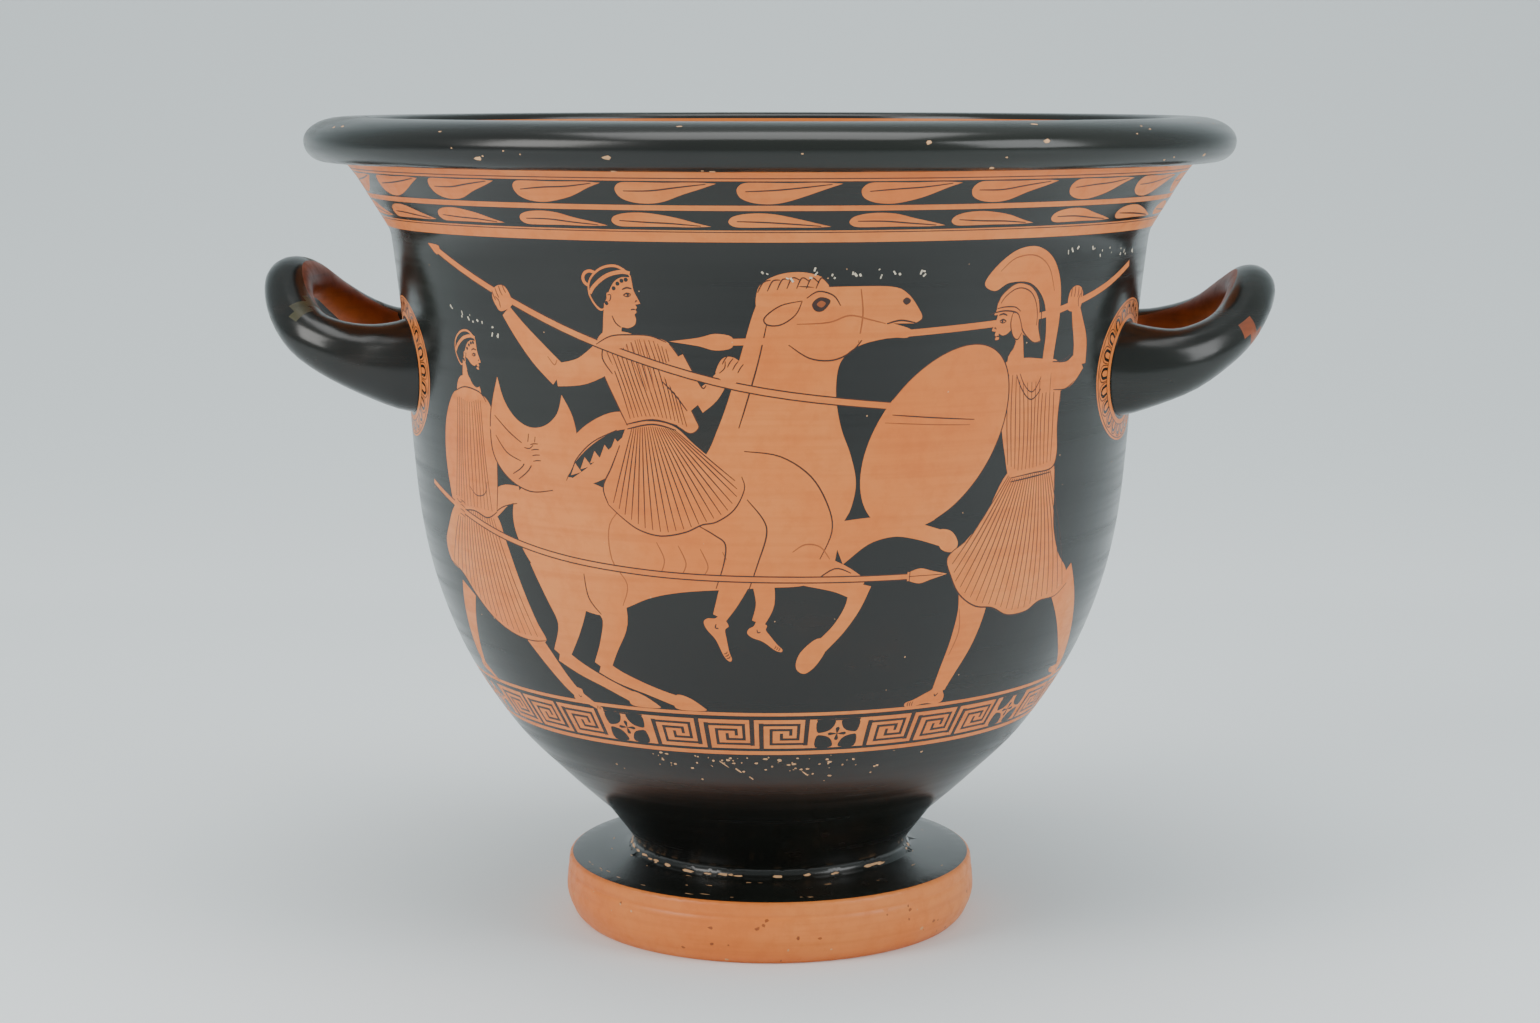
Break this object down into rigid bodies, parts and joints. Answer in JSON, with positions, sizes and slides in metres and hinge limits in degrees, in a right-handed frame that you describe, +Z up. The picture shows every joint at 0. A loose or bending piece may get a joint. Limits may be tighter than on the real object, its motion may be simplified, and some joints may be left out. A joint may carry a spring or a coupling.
{
  "type": "bell krater",
  "caption": "Wide-mouthed fired clay mixing bowl on a disc foot, with upturned loop handles and red-figure painted decoration.",
  "frame": {"origin": "centre of the foot's underside, on the surface that the vessel stands on", "axes": "+Z up the vessel's turning axis, +X through the right-hand handle, -Y out of the front picture"},
  "size_m": [0.4403, 0.4, 0.3535],
  "materials": {
    "fired_clay": "black gloss slip over orange clay"
  },
  "bodies": {
    "root": {"krater": "fired_clay"}
  },
  "joints": []
}
